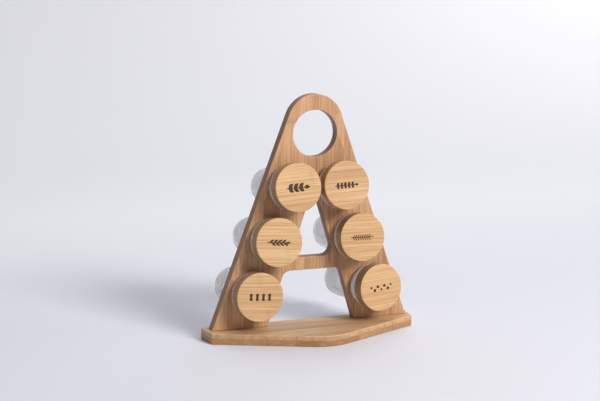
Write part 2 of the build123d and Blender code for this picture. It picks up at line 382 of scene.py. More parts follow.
@dataclass(frozen=True)
class HandlingPattern:
    """Handling wear: rubbed rounded edges, broken up by noise, and soft smudges on the faces."""

    rounded_levels: Levels = (0.02, 0.2)
    side_levels: Levels = (0.15, 0.45)
    worn: Grain = Grain((0.09, 0.09, 0.09), 3.0)
    worn_levels: Levels = (0.25, 0.7)
    least_wear: float = 0.3
    smudge: Grain = Grain((0.03, 0.03, 0.03), 3.0, 0.6)
    smudge_levels: Levels = (0.4, 0.7)
    grit: Grain = Grain((0.8, 0.8, 0.8), 2.0)

    def group(self) -> bpy.types.NodeTree:
        """Build the node group, which tells a board's sides and edges from its face by its normal.

        Returns:
            The group.
        """
        wiring, given, made = effect_group(
            "handling_wear",
            {"Vector": (VECTOR, None), "Normal": (VECTOR, None), "Face": (VECTOR, (0.0, 1.0, 0.0))},
            {"Edge": FLOAT, "Side": FLOAT, "Smudge": FLOAT, "Height": FLOAT},
        )
        vector = given.outputs["Vector"]
        dot = wiring.vector_math("DOT_PRODUCT", given.outputs["Normal"], given.outputs["Face"])
        facing = wiring.times(dot.outputs["Value"], dot.outputs["Value"])
        slant = wiring.times(facing, wiring.math("SUBTRACT", 1.0, facing))
        worn = wiring.ramp(wiring.noise(vector, self.worn), *self.worn_levels)
        wear = wiring.math("ADD", worn, self.least_wear)
        edge = wiring.math("MULTIPLY", wiring.ramp(slant, *self.rounded_levels), wear, clamp=True)
        smudge = wiring.ramp(wiring.noise(vector, self.smudge), *self.smudge_levels)
        side = wiring.ramp(facing, *self.side_levels, 1.0, 0.0)
        grit = wiring.noise(vector, self.grit)
        wiring.feed_all(made, {"Edge": edge, "Side": side, "Smudge": smudge, "Height": grit})
        return wiring.tree


@dataclass(frozen=True)
class Effects:
    """The node groups that the finishes share."""

    strips: bpy.types.NodeTree
    handling: bpy.types.NodeTree


# ----------------------------------------------------------------- finishes


def fresh_material(name: str) -> tuple[bpy.types.Material, Wiring, bpy.types.Node]:
    """Start a material with one Principled shader.

    Args:
        name: The material's name.

    Returns:
        The material, its wiring and its shader.
    """
    material = bpy.data.materials.new(name)
    material.use_nodes = True
    material.node_tree.nodes.clear()
    wiring = Wiring(material.node_tree)
    shader = wiring.add("ShaderNodeBsdfPrincipled")
    output = wiring.add("ShaderNodeOutputMaterial")
    wiring.feed(output.inputs["Surface"], shader.outputs["BSDF"])
    return material, wiring, shader


class Lay(Enum):
    """How a board's fibres run: up along Z, or sideways along X."""

    UPRIGHT = auto()
    SIDEWAYS = auto()


@dataclass(frozen=True)
class BambooFinish:
    """Oiled laminated bamboo of one ply, or of two with a glue line between them."""

    name: str
    pale: Colour
    deep: Colour
    knuckle: Colour
    fibres: Lay
    face: Point
    strip_width: float = 20.0
    strip_contrast: float = 0.5
    streak_width: float = 2.0
    streak_contrast: float = 0.6
    fleck_amount: float = 0.4
    knuckle_spacing: float = 180.0
    knuckle_amount: float = 0.6
    side_burn_and_shade_tint: Colour = (1.0, 1.0, 1.0)
    second_ply_tint: Colour = (1.0, 1.0, 1.0)
    ply_line: float = 0.0
    ply_blur: float = 0.15
    reversed_plies: bool = False
    glue_levels: Levels = (0.1, 0.35)
    glue_share: float = 0.45
    smudge_share: float = 0.14
    rubbed_share: float = 0.3
    foot_shade_height: float = 0.0
    foot_shade_fade: float = 1.0
    foot_shade_share: float = 0.75
    gloss: float = 0.42
    strip_dulling: float = 0.16
    smudge_dulling: float = 0.1
    coat: float = 0.08
    coat_roughness: float = 0.35
    ior: float = 1.45
    relief: float = 0.12
    relief_depth: float = 0.4
    grit_share: float = 0.1
    own_place: bool = False

    def second_ply(self, wiring: Wiring, depth: Socket, colour: Socket) -> Socket:
        """Tint the second ply and draw the glue line.

        Args:
            wiring: The material's wiring.
            depth: Depth through the board, in millimetres.
            colour: The colour of the first ply.

        Returns:
            The colour of both.
        """
        start, end = (1.0, 0.0) if self.reversed_plies else (0.0, 1.0)
        low, high = self.ply_line - self.ply_blur, self.ply_line + self.ply_blur
        second = wiring.ramp(depth, low, high, start, end)
        tinted = wiring.mix(1.0, colour, self.second_ply_tint, "MULTIPLY")
        colour = wiring.mix(second, colour, tinted)
        glue = wiring.ramp(wiring.off(depth, self.ply_line), *self.glue_levels, self.glue_share, 0.0)
        return wiring.mix(glue, colour, self.knuckle)

    def material(self, effects: Effects) -> bpy.types.Material:
        """Build the material.

        Args:
            effects: The shared node groups.

        Returns:
            The material.
        """
        material, wiring, shader = fresh_material(self.name)
        millimetres = wiring.millimetres(self.own_place)
        x, y, z = wiring.parts(millimetres)
        if self.fibres is Lay.UPRIGHT:
            laid, depth = wiring.whole(z, x, y), y
        else:
            laid, depth = wiring.whole(x, y, z), z
        strips = wiring.add(
            "ShaderNodeGroup",
            {
                "Vector": laid,
                "Pale": self.pale,
                "Deep": self.deep,
                "Knuckle": self.knuckle,
                "Strip Width": self.strip_width,
                "Strip Contrast": self.strip_contrast,
                "Streak Width": self.streak_width,
                "Streak Contrast": self.streak_contrast,
                "Fleck Amount": self.fleck_amount,
                "Knuckle Spacing": self.knuckle_spacing,
                "Knuckle Amount": self.knuckle_amount,
            },
            node_tree=effects.strips,
        )
        normal = wiring.add("ShaderNodeTexCoord").outputs["Normal"]
        touched = {"Vector": millimetres, "Normal": normal, "Face": self.face}
        handling = wiring.add("ShaderNodeGroup", touched, node_tree=effects.handling)
        smudge = handling.outputs["Smudge"]

        colour = strips.outputs["Color"]
        # Sides darker: laser-burnt edges on the cut boards, and painted shade on the lids' turned sides.
        tinted = wiring.mix(1.0, colour, self.side_burn_and_shade_tint, "MULTIPLY")
        colour = wiring.mix(handling.outputs["Side"], colour, tinted)
        if self.ply_line > 0:
            colour = self.second_ply(wiring, depth, colour)
        colour = wiring.mix(wiring.times(smudge, self.smudge_share), colour, self.deep)
        rubbed = wiring.times(handling.outputs["Edge"], self.rubbed_share)
        colour = wiring.mix(rubbed, colour, self.pale)
        # Painted shade: the board is darkened just above its foot, where it stands on the base.
        if self.foot_shade_height > 0:
            unshaded_from = self.foot_shade_height + self.foot_shade_fade
            foot_shade = wiring.ramp(z, self.foot_shade_height, unshaded_from, self.foot_shade_share, 0.0)
            colour = wiring.mix(foot_shade, colour, self.knuckle)

        dulling = wiring.times(strips.outputs["Gloss Loss"], self.strip_dulling)
        dulling = wiring.math("ADD", dulling, wiring.times(smudge, self.smudge_dulling))
        grit = wiring.times(handling.outputs["Height"], self.grit_share)
        height = wiring.math("ADD", strips.outputs["Height"], grit)
        wiring.emboss(shader, height, self.relief, self.relief_depth)
        settings = {
            "Base Color": colour,
            "Roughness": wiring.math("ADD", dulling, self.gloss),
            "Coat Weight": self.coat,
            "Coat Roughness": self.coat_roughness,
            "IOR": self.ior,
        }
        wiring.feed_all(shader, settings)
        return material


@dataclass(frozen=True)
class ScorchFinish:
    """Laser-burnt recess: near-black brown soot that lets the fibres show."""

    name: str
    dark: Colour = (0.045, 0.022, 0.010)
    brown: Colour = (0.16, 0.08, 0.035)
    streak_width: float = 1.1
    streak_contrast: float = 0.9
    soot: Grain = Grain((1.1, 1.1, 1.1), 4.0, 0.7)
    soot_levels: Levels = (0.35, 0.6)
    roughness_steps: Steps = (0.3, 0.7, 0.7, 0.95)
    relief: float = 0.4
    relief_depth: float = 0.2

    def material(self, effects: Effects) -> bpy.types.Material:
        """Build the material.

        Args:
            effects: The shared node groups.

        Returns:
            The material.
        """
        material, wiring, shader = fresh_material(self.name)
        millimetres = wiring.millimetres()
        strips = wiring.add(
            "ShaderNodeGroup",
            {
                "Vector": millimetres,
                "Pale": self.brown,
                "Deep": self.dark,
                "Knuckle": self.dark,
                "Streak Width": self.streak_width,
                "Streak Contrast": self.streak_contrast,
            },
            node_tree=effects.strips,
        )
        soot = wiring.noise(millimetres, self.soot)
        colour = wiring.mix(wiring.ramp(soot, *self.soot_levels), strips.outputs["Color"], self.dark)
        roughness = wiring.ramp(soot, *self.roughness_steps)
        wiring.feed_all(shader, {"Base Color": colour, "Roughness": roughness})
        wiring.emboss(shader, soot, self.relief, self.relief_depth)
        return material


@dataclass(frozen=True)
class GlassFinish:
    """Pressed, slightly frosted glass with faint rings of painted shade and a dusting of fingerprints."""

    name: str
    clear: Colour = (0.99, 0.98, 0.985)
    dusty: Colour = (0.95, 0.94, 0.945)
    # grey of the painted ring shade
    ring: Colour = (0.80, 0.79, 0.80)
    ring_shade_pitch: float = 3.5
    ring_shade_steps: Steps = (0.1, 0.35, 0.55, 0.0)
    prints: Grain = Grain((0.14, 0.14, 0.09), 4.0, 0.6)
    prints_levels: Levels = (0.4, 0.7)
    roughness_steps: Steps = (0.35, 0.75, 0.36, 0.44)
    ripple: Grain = Grain((0.22, 0.22, 0.35), 2.0, 0.4, 0.4)
    relief: float = 0.03
    relief_depth: float = 0.6
    transmission: float = 0.72
    alpha: float = 0.62
    ior: float = 1.5

    def material(self) -> bpy.types.Material:
        """Build the material.

        Returns:
            The material.
        """
        material, wiring, shader = fresh_material(self.name)
        millimetres = wiring.millimetres()
        prints = wiring.noise(millimetres, self.prints)
        height = wiring.parts(millimetres)[2]
        # Painted shade: grey bands along the axis stand in for the shading of the moulded ribs.
        rings = wiring.math("FRACT", wiring.math("DIVIDE", height, self.ring_shade_pitch))
        groove = wiring.ramp(wiring.off(rings, 0.5), *self.ring_shade_steps)
        colour = wiring.mix(wiring.ramp(prints, *self.prints_levels), self.clear, self.dusty)
        wiring.emboss(shader, wiring.noise(millimetres, self.ripple), self.relief, self.relief_depth)
        settings = {
            "Base Color": wiring.mix(groove, colour, self.ring),
            "Roughness": wiring.ramp(prints, *self.roughness_steps),
            "Transmission Weight": self.transmission,
            "Alpha": self.alpha,
            "Metallic": 0.0,
            "IOR": self.ior,
        }
        wiring.feed_all(shader, settings)
        return material


@dataclass(frozen=True)
class SiliconeFinish:
    """Milky moulded silicone with a dusty bloom."""

    name: str
    milk: Colour = (0.80, 0.81, 0.80)
    bloom: Colour = (0.66, 0.66, 0.64)
    cloud: Grain = Grain((0.25, 0.25, 0.25), 4.0, 0.6)
    cloud_levels: Levels = (0.35, 0.7)
    roughness_steps: Steps = (0.3, 0.7, 0.42, 0.6)
    grain: Grain = Grain((4.0, 4.0, 4.0), 2.0)
    relief: float = 0.15
    relief_depth: float = 0.1
    ior: float = 1.41
    scatter: float = 0.2
    scatter_length: float = 1.0

    def material(self) -> bpy.types.Material:
        """Build the material.

        Returns:
            The material.
        """
        material, wiring, shader = fresh_material(self.name)
        millimetres = wiring.millimetres()
        cloud = wiring.noise(millimetres, self.cloud)
        colour = wiring.mix(wiring.ramp(cloud, *self.cloud_levels), self.milk, self.bloom)
        wiring.emboss(shader, wiring.noise(millimetres, self.grain), self.relief, self.relief_depth)
        settings = {
            "Base Color": colour,
            "Roughness": wiring.ramp(cloud, *self.roughness_steps),
            "IOR": self.ior,
            "Subsurface Weight": self.scatter,
            "Subsurface Scale": self.scatter_length * MM,
        }
        wiring.feed_all(shader, settings)
        return material


@dataclass(frozen=True)
class SteelFinish:
    """Zinc-plated screw steel, turned and a little tarnished."""

    name: str
    bright: Colour = (0.62, 0.61, 0.58)
    tarnish: Colour = (0.34, 0.31, 0.27)
    patch: Grain = Grain((0.5, 0.5, 0.5), 4.0, 0.65)
    patch_levels: Levels = (0.5, 0.72)
    scratch: Grain = Grain((9.0, 0.8, 9.0), 3.0, 0.6, 0.6)
    scratch_dulling: float = 0.25
    gloss: float = 0.2
    relief: float = 0.2
    relief_depth: float = 0.05

    def material(self) -> bpy.types.Material:
        """Build the material.

        Returns:
            The material.
        """
        material, wiring, shader = fresh_material(self.name)
        millimetres = wiring.millimetres(own=False)
        spots = wiring.ramp(wiring.noise(millimetres, self.patch), *self.patch_levels)
        scratch = wiring.noise(millimetres, self.scratch)
        dulling = wiring.times(scratch, self.scratch_dulling)
        wiring.emboss(shader, scratch, self.relief, self.relief_depth)
        colour = wiring.mix(spots, self.bright, self.tarnish)
        roughness = wiring.math("ADD", dulling, self.gloss)
        wiring.feed_all(shader, {"Base Color": colour, "Roughness": roughness, "Metallic": 1.0})
        return material


@dataclass(frozen=True)
class BackdropFinish:
    """Pale seamless paper with a hardly visible cloud, and painted light that makes it paler towards the
    back.
    """

    name: str
    paper: Colour = (0.73, 0.73, 0.785)
    shade: Colour = (0.71, 0.71, 0.765)
    # painted light: a paler paper colour towards the back
    far_painted_light: Colour = (0.86, 0.86, 0.90)
    far_painted_light_levels: Levels = (0.05, 0.7)
    cloud: Grain = Grain((1.5, 1.5, 1.5), 2.0)
    roughness: float = 0.9
    specular: float = 0.1

    def material(self) -> bpy.types.Material:
        """Build the material.

        Returns:
            The material.
        """
        material, wiring, shader = fresh_material(self.name)
        place = wiring.add("ShaderNodeTexCoord").outputs["Object"]
        back = wiring.parts(place)[1]
        colour = wiring.mix(wiring.noise(place, self.cloud), self.paper, self.shade)
        # Painted light: the paper gets paler towards the back.
        colour = wiring.mix(wiring.ramp(back, *self.far_painted_light_levels), colour, self.far_painted_light)
        settings = {
            "Base Color": colour,
            "Roughness": self.roughness,
            "Specular IOR Level": self.specular,
        }
        wiring.feed_all(shader, settings)
        return material


# ------------------------------------------------------------ turned pieces


@dataclass(frozen=True)
class Corner:
    """One point of a turned profile, in millimetres: radius, height on the axis and rounding."""

    radius: float
    height: float
    rounding: float = 0.0


@dataclass(frozen=True)
class Turning:
    """A lathe profile: its outside runs from top to bottom, and its inside back up."""

    corners: list[Corner]
    ring: bool = False
    steps: int = 96
    rounding_steps: int = 4
    smooth_angle: float = 35.0
    merge_distance: float = 1e-6

    def turn(self, name: str) -> bpy.types.Object:
        """Turn the profile about Z into a mesh at the origin.

        Args:
            name: The piece's name.

        Returns:
            The piece, with its stack applied.
        """
        count = len(self.corners)
        points = [(corner.radius * MM, 0.0, corner.height * MM) for corner in self.corners]
        edges = [(index, index + 1) for index in range(count - 1)]
        if self.ring:
            edges.append((count - 1, 0))
        mesh = bpy.data.meshes.new(name)
        mesh.from_pydata(points, edges, [])
        widest = max(corner.rounding for corner in self.corners)
        piece = bpy.data.objects.new(name, mesh)
        bpy.context.scene.collection.objects.link(piece)
        if widest > 0:
            weights = mesh.attributes.new("bevel_weight_vert", "FLOAT", "POINT")
            weights.data.foreach_set("value", [corner.rounding / widest for corner in self.corners])
            rounding = piece.modifiers.new("rounding", "BEVEL")
            rounding.affect = "VERTICES"
            rounding.limit_method = "WEIGHT"
            rounding.width = widest * MM
            rounding.segments = self.rounding_steps
        lathe = piece.modifiers.new("lathe", "SCREW")
        lathe.axis = "Z"
        lathe.steps = self.steps
        lathe.render_steps = self.steps
        lathe.use_merge_vertices = True
        lathe.merge_threshold = self.merge_distance
        apply_stack(piece)
        piece.data.shade_smooth()
        piece.data.set_sharp_from_angle(angle=radians(self.smooth_angle))
        return piece


def apply_stack(piece: bpy.types.Object) -> None:
    """Apply a piece's modifier stack to its mesh.

    Args:
        piece: The piece, whose old mesh is removed.
    """
    depsgraph = bpy.context.evaluated_depsgraph_get()
    finished = bpy.data.meshes.new_from_object(piece.evaluated_get(depsgraph))
    rough = piece.data
    piece.modifiers.clear()
    piece.data = finished
    finished.name = piece.name
    bpy.data.meshes.remove(rough)


def settle(piece: bpy.types.Object, place: Matrix, shift: Point = (0.0, 0.0, 0.0)) -> None:
    """Keep each point's own place as an attribute, then move the mesh to its place in the frame.

    Args:
        piece: The piece, made at its own origin.
        place: Its place in the frame.
        shift: Offset of the kept places, so that no two pieces are cut from the same wood.
    """
    mesh = piece.data
    kept = mesh.attributes.new(OWN_PLACE, "FLOAT_VECTOR", "POINT")
    offset = Vector(shift)
    values = [component for vertex in mesh.vertices for component in (vertex.co + offset)]
    kept.data.foreach_set("vector", values)
    mesh.transform(place)


# -------------------------------------------------------------------- marks


@dataclass(frozen=True)
class Outline:
    """A closed flat outline in millimetres."""

    points: list[tuple[float, float]]

    def placed(self, x: float, y: float = 0.0, turn: float = 0.0) -> "Outline":
        """The outline turned about the origin and then moved.

        Args:
            x: How far it moves along X.
            y: How far it moves along Y.
            turn: Its turn anticlockwise, in degrees.

        Returns:
            The placed outline.
        """
        c = cos(radians(turn))
        s = sin(radians(turn))
        return Outline([(x + c * u - s * v, y + s * u + c * v) for u, v in self.points])


def disc(radius: float, count: int = 20) -> Outline:
    """A round outline about its centre."""
    angles = [2 * pi * i / count for i in range(count)]
    return Outline([(radius * cos(angle), radius * sin(angle)) for angle in angles])


def leaf(length: float, width: float, count: int = 8) -> Outline:
    """A pointed leaf along X from its stalk at the origin.

    Args:
        length: From stalk to tip.
        width: Across the middle.
        count: Points along each side.

    Returns:
        The outline.
    """
    side = [(length * i / count, width / 2 * sin(pi * i / count)) for i in range(count)]
    tip = [(length - u, -v) for u, v in side]
    return Outline(side + tip)


def bar(length: float, width: float) -> Outline:
    """A plain bar about its centre."""
    x, y = length / 2, width / 2
    return Outline([(-x, -y), (x, -y), (x, y), (-x, y)])


@dataclass(frozen=True)
class Sprig:
    """A stem with pairs of leaves, or leaves on alternate sides, and one at its tip."""

    pairs: int
    length: float
    width: float
    angle: float
    staggered: bool = False
    span: float = 24.0
    stem: float = 0.9

    def outlines(self) -> list[Outline]:
        """Draw the stem and the leaves.

        Returns:
            Their outlines, which overlap.
        """
        blade = leaf(self.length, self.width)
        stem_length = self.span - self.length
        step = (stem_length - 2 * self.stem) / self.pairs
        found = [bar(stem_length, self.stem).placed(-self.length / 2)]
        for index in range(self.pairs):
            stalk = -self.span / 2 + 2 * self.stem + index * step
            other = stalk + (step / 2 if self.staggered else 0)
            found.append(blade.placed(stalk, 0, self.angle))
            found.append(blade.placed(other, 0, -self.angle))
        found.append(blade.placed(self.span / 2 - self.length - self.stem / 2))
        return found


@dataclass(frozen=True)
class BudRow:
    """A row of buds, each a round head on a stalk that widens towards its foot."""

    count: int = 4
    pitch: float = 6.0
    head: float = 1.5
    neck_share: float = 0.7
    stalk: float = 4.2

    def outlines(self) -> list[Outline]:
        """Draw the heads and the stalks.

        Returns:
            Their outlines, which overlap.
        """
        foot = self.head
        neck = self.neck_share * self.head
        top = self.stalk / 4
        low = top - self.stalk
        stalk = Outline([(-neck, top), (-foot, low), (foot, low), (neck, top)])
        found = []
        for index in range(self.count):
            x = (index - (self.count - 1) / 2) * self.pitch
            found.append(disc(self.head).placed(x, self.stalk / 2))
            found.append(stalk.placed(x))
        return found


@dataclass(frozen=True)
class SeedRow:
    """A loose row of round seeds in two sizes."""

    count: int = 7
    pitch: float = 3.6
    large: float = 1.5
    small: float = 1.1

    def outlines(self) -> list[Outline]:
        """Draw the seeds, every third one small, by turns above and below the row's middle.

        Returns:
            Their outlines.
        """
        found = []
        for index in range(self.count):
            x = (index - (self.count - 1) / 2) * self.pitch
            radius = self.small if index % 3 == 0 else self.large
            found.append(disc(radius).placed(x, self.large * (-1) ** index))
        return found


class Mark(Enum):
    """The plant drawing on a lid."""

    BROAD_LEAVES = Sprig(pairs=3, length=6.5, width=3.6, angle=38)
    SMALL_LEAVES = Sprig(pairs=5, length=3.6, width=2.4, angle=55)
    LONG_LEAVES = Sprig(pairs=4, length=6.0, width=1.9, angle=30, staggered=True)
    NEEDLES = Sprig(pairs=8, length=4.0, width=0.9, angle=50)
    BUDS = BudRow()
    SEEDS = SeedRow()


# ------------------------------------------------------------------- places


@dataclass(frozen=True)
class Place:
    """Where one jar hangs, and what is drawn on its lid."""

    name: str
    mark: Mark
    roll: float
    seal_middle: float = 2.65

    def axis(self) -> Vector:
        """The jar's axis, out of its mouth, from its slide joint."""
        axes = {joint["name"]: joint["axis"] for joint in frame["joints"]}
        return Vector(axes[f"jar_{self.name}_slide"]).normalized()

    def matrix(self) -> Matrix:
        """Place of the flange's rear face.

        Returns:
            A matrix with Z out of the mouth, and X level and then rolled with the mark.
        """
        out = self.axis()
        level = Vector((0, 0, 1)).cross(out).normalized()
        across = Matrix.Rotation(radians(self.roll), 3, out) @ level
        upward = out.cross(across)
        low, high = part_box(f"seal_{self.name}")
        origin = (low + high) / 2 - out * self.seal_middle * MM
        turn = Matrix((across, upward, out)).transposed().to_4x4()
        return Matrix.Translation(origin) @ turn


# -------------------------------------------------------------- sub-assemblies


@dataclass
class Jar:
    """A turned glass jar: flange, straight ribbed wall and rounded closed end."""

    place: Place
    radius: float = 18.2
    wall: float = 1.25
    length: float = 63.5
    bottom: float = 1.6
    heel: float = 5.0
    rib_height: float = 0.4
    rib_pitch: float = 7.0
    rib_count: int = 6
    first_rib: float = 15.0
    flange_radius: float = 22.4
    flange_thickness: float = 5.5
    flange_round: float = 1.2
    mouth_round: float = 0.5
    rib_steps: int = 8
    steps: int = 144

    def profile(self) -> Turning:
        """Lay out the jar's section.

        Returns:
            The inside from its floor up, then the outside from the mouth down.
        """
        bore = self.radius - self.wall
        floor = -self.length + self.bottom
        corners = [
            Corner(0, floor),
            Corner(bore, floor, self.heel - self.wall),
            Corner(bore, self.flange_thickness, self.mouth_round),
            Corner(self.flange_radius, self.flange_thickness, self.flange_round),
            Corner(self.flange_radius, 0, self.flange_round),
            Corner(self.radius, 0, self.mouth_round),
        ]
        for step in range(self.rib_count * self.rib_steps + 1):
            swell = self.rib_height * abs(sin(pi * step / self.rib_steps))
            height = -self.first_rib - step * self.rib_pitch / self.rib_steps
            corners.append(Corner(self.radius + swell, height))
        corners.append(Corner(self.radius, -self.length, self.heel))
        corners.append(Corner(0, -self.length))
        return Turning(corners, steps=self.steps, rounding_steps=8, smooth_angle=50)

    def build(self) -> bpy.types.Object:
        """Turn the jar, put it in its place and let it ride on its body.

        Returns:
            The jar.
        """
        piece = self.profile().turn(f"jar_{self.place.name}_glass")
        settle(piece, self.place.matrix())
        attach(piece, f"jar_{self.place.name}")
        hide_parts(f"glass_jar_{self.place.name}")
        return piece

    def dress(self, piece: bpy.types.Object, glass: bpy.types.Material) -> None:
        """Give the jar its glass."""
        piece.data.materials.append(glass)


@dataclass
class Lid:
    """A turned bamboo lid: a thick disc with a burnt mark in front and a grooved plug behind."""

    place: Place
    radius: float = 22.7
    thickness: float = 12.0
    edge_round: float = 0.7
    seat: float = 5.8
    plug_radius: float = 15.0
    plug_length: float = 6.3
    plug_chamfer: float = 0.5
    groove_start: float = 1.2
    groove_length: float = 3.9
    groove_depth: float = 0.6
    mark_depth: float = 0.4
    cutter_length: float = 1.5
    floor_step: float = 0.004
    floor_levels: int = 5
    sharp_angle: float = 30.0
    steps: int = 144
    cut_from: Point = (0.0, 0.0, 0.0)

    def profile(self) -> Turning:
        """Lay out the lid's section.

        Returns:
            The profile, from the middle of its face to the middle of its plug.
        """
        face = self.seat + self.thickness
        groove_top = self.seat - self.groove_start
        groove_low = groove_top - self.groove_length
        inner = self.plug_radius - self.groove_depth
        end = self.seat - self.plug_length
        corners = [
            Corner(0, face),
            Corner(self.radius, face, self.edge_round),
            Corner(self.radius, self.seat, self.edge_round),
            Corner(self.plug_radius, self.seat),
            Corner(self.plug_radius, groove_top),
            Corner(inner, groove_top),
            Corner(inner, groove_low),
            Corner(self.plug_radius, groove_low),
            Corner(self.plug_radius, end, self.plug_chamfer),
            Corner(0, end),
        ]
        return Turning(corners, steps=self.steps, rounding_steps=4)

    def cutter(self, level: int, outline: Outline, scorch: bpy.types.Material) -> bpy.types.Object:
        """Upright prism of one of the mark's outlines, from the recess's floor to above the face.

        Args:
            level: The outline's number, because floors that overlap differ by a hair in height.
            outline: The outline to cut.
            scorch: The material that the cut faces take.

        Returns:
            The cutter.
        """
        lift = self.floor_step * (level % self.floor_levels)
        low = (self.seat + self.thickness - self.mark_depth + lift) * MM
        shape = bmesh.new()
        floor = shape.faces.new([shape.verts.new((x * MM, y * MM, low)) for x, y in outline.points])
        floor.normal_update()
        grown = bmesh.ops.extrude_face_region(shape, geom=[floor])
        top = [part for part in grown["geom"] if isinstance(part, bmesh.types.BMVert)]
        bmesh.ops.translate(shape, verts=top, vec=(0, 0, self.cutter_length * MM))
        bmesh.ops.recalc_face_normals(shape, faces=shape.faces)
        mesh = bpy.data.meshes.new("mark_cutter")
        shape.to_mesh(mesh)
        shape.free()
        mesh.materials.append(scorch)
        cutter = bpy.data.objects.new("mark_cutter", mesh)
        bpy.context.scene.collection.objects.link(cutter)
        return cutter

    def engrave(self, piece: bpy.types.Object, scorch: bpy.types.Material) -> None:
        """Cut the mark into the lid's face, one outline at a time.

        Args:
            piece: The lid.
            scorch: The material of the mark's recess.
        """
        outlines = self.place.mark.value.outlines()
        cutters = [self.cutter(level, outline, scorch) for level, outline in enumerate(outlines)]
        for cutter in cutters:
            cut = piece.modifiers.new("mark", "BOOLEAN")
            cut.object = cutter
            cut.operation = "DIFFERENCE"
            cut.solver = "EXACT"
            cut.material_mode = "TRANSFER"
        apply_stack(piece)
        for cutter in cutters:
            helper = cutter.data
            bpy.data.objects.remove(cutter)
            bpy.data.meshes.remove(helper)
        piece.data.set_sharp_from_angle(angle=radians(self.sharp_angle))

    def build(self, bamboo: bpy.types.Material, scorch: bpy.types.Material) -> bpy.types.Object:
        """Turn the lid, cut its mark and put it in its place.

        Args:
            bamboo: The lid's material.
            scorch: The material of the mark's recess.

        Returns:
            The lid.
        """
        piece = self.profile().turn(f"lid_{self.place.name}_turned")
        piece.data.materials.append(bamboo)
        self.engrave(piece, scorch)
        settle(piece, self.place.matrix(), self.cut_from)
        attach(piece, f"lid_{self.place.name}")
        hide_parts(f"lid_{self.place.name}")
        return piece


@dataclass
class Seal:
    """A silicone sleeve in the plug's groove, with three tapered lips."""

    place: Place
    middle: float = 2.65
    length: float = 3.9
    inner: float = 14.4
    sleeve: float = 0.8
    reach: float = 16.8
    lips: int = 3
    lip_root: float = 1.0
    lip_tip: float = 0.4
    lip_round: float = 0.15
    steps: int = 96

    def profile(self) -> Turning:
        """Lay out the seal's section.

        Returns:
            The closed profile, down its lips and back up its bore.
        """
        outer = self.inner + self.sleeve
        pitch = self.length / self.lips
        top = self.middle + self.length / 2
        corners = [Corner(self.inner, top), Corner(outer, top)]
        for lip in range(self.lips):
            root = top - (lip + 0.5) * pitch
            corners.append(Corner(outer, root + self.lip_root / 2))
            corners.append(Corner(self.reach, root + self.lip_tip / 2, self.lip_round))
            corners.append(Corner(self.reach, root - self.lip_tip / 2, self.lip_round))
            corners.append(Corner(outer, root - self.lip_root / 2))
        corners.append(Corner(outer, top - self.length))
        corners.append(Corner(self.inner, top - self.length))
        return Turning(corners, ring=True, steps=self.steps, rounding_steps=2)

    def build(self, silicone: bpy.types.Material) -> bpy.types.Object:
        """Turn the seal and put it in its place.

        Args:
            silicone: The seal's material.

        Returns:
            The seal.
        """
        piece = self.profile().turn(f"seal_{self.place.name}_moulded")
        piece.data.materials.append(silicone)
        settle(piece, self.place.matrix())
        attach(piece, f"lid_{self.place.name}")
        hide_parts(f"seal_{self.place.name}")
        return piece


@dataclass(frozen=True)
class Rack:
    """The two boards and the screws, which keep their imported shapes."""

    panel: str = "a_frame_panel"
    base: str = "base_board"
    screws: str = "base_screws"

    def dress(self, effects: Effects) -> None:
        """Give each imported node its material.

        Args:
            effects: The shared node groups.
        """
        finishes = {
            self.panel: PANEL_BAMBOO.material(effects),
            self.base: BASE_BAMBOO.material(effects),
            self.screws: SteelFinish("screw_steel").material(),
        }
        for node, material in finishes.items():
            for slot in frame["nodes"][node].material_slots:
                slot.material = material
            log.info("%s: %s", node, material.name)


@dataclass(frozen=True)
class Softbox:
    """A square area light that is aimed at a target, in metres and watts."""

    name: str
    place: Point
    target: Point
    size: float
    power: float
    tint: Colour

    def build(self) -> None:
        """Add the light and aim it at its target."""
        lamp = bpy.data.lights.new(self.name, "AREA")
        lamp.shape = "SQUARE"
        lamp.size = self.size
        lamp.energy = self.power
        lamp.color = self.tint
        holder = bpy.data.objects.new(self.name, lamp)
        holder.location = self.place
        aim = Vector(self.target) - Vector(self.place)
        holder.rotation_euler = aim.to_track_quat("-Z", "Y").to_euler()
        bpy.context.scene.collection.objects.link(holder)


